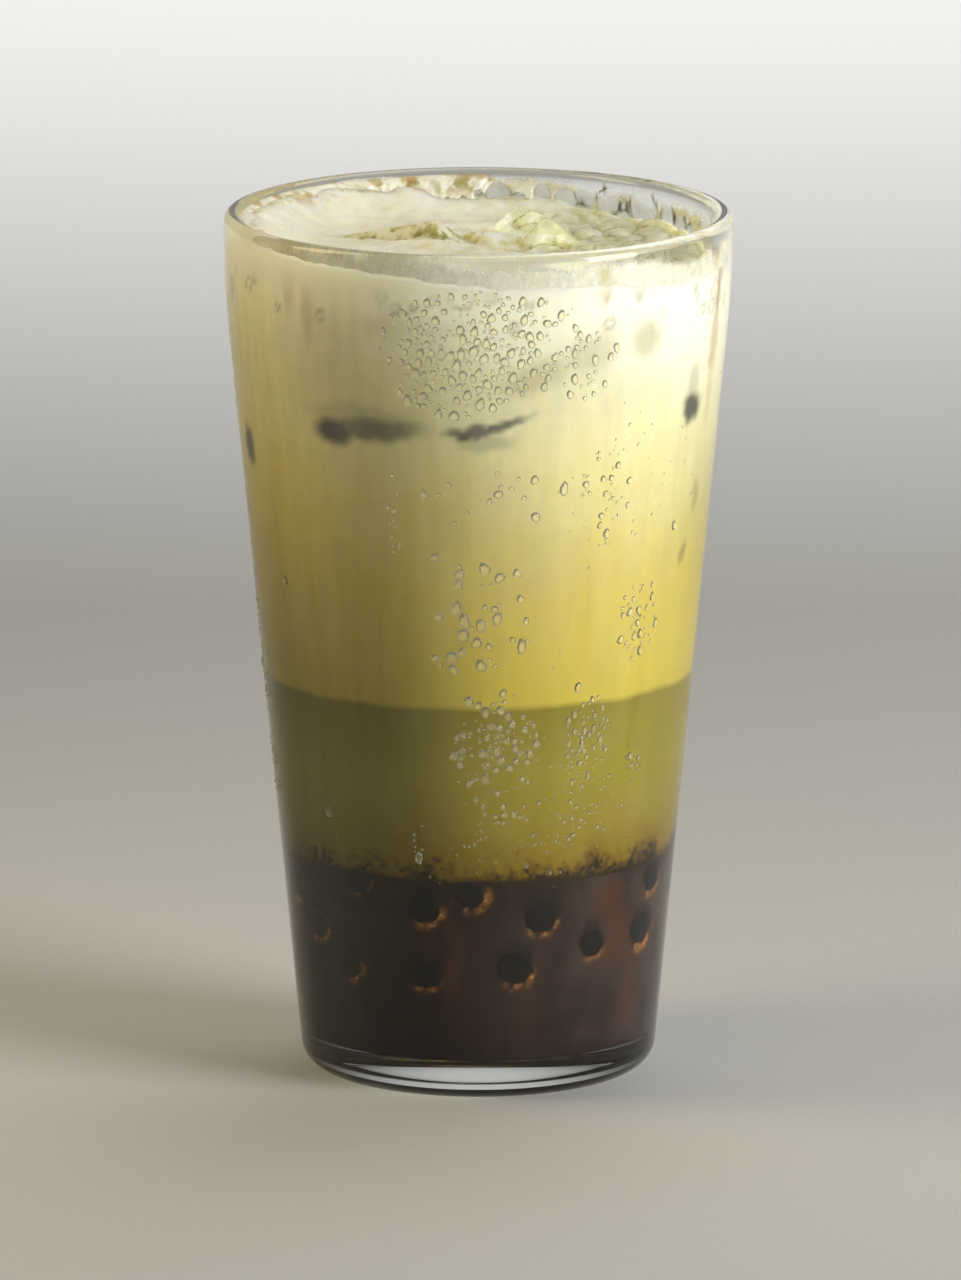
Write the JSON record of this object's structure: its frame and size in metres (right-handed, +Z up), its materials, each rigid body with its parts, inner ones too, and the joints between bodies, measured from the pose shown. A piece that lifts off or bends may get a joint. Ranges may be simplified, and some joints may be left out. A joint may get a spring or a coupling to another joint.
{
  "type": "iced matcha latte",
  "caption": "Iced matcha latte in a tapered clear tumbler: dark pearl syrup, green matcha, pale matcha milk and thick milk foam, with the free space under the rim left open.",
  "frame": {"origin": "centre of the foot on the table plane", "axes": "+Z up along the glass's axis, -Y towards the viewer, +X to the viewer's right"},
  "size_m": [0.088, 0.088, 0.151],
  "materials": {
    "clear_glass": "clear polished glass with condensation",
    "pearl_syrup": "dark brown sugar syrup with black pearls",
    "matcha": "opaque green tea",
    "matcha_milk": "opaque pale green milk",
    "milk_foam": "dense wet milk foam"
  },
  "bodies": {
    "root": {"glass": "clear_glass", "pearl_syrup": "pearl_syrup", "matcha": "matcha", "milk": "matcha_milk", "foam": "milk_foam"}
  },
  "joints": []
}
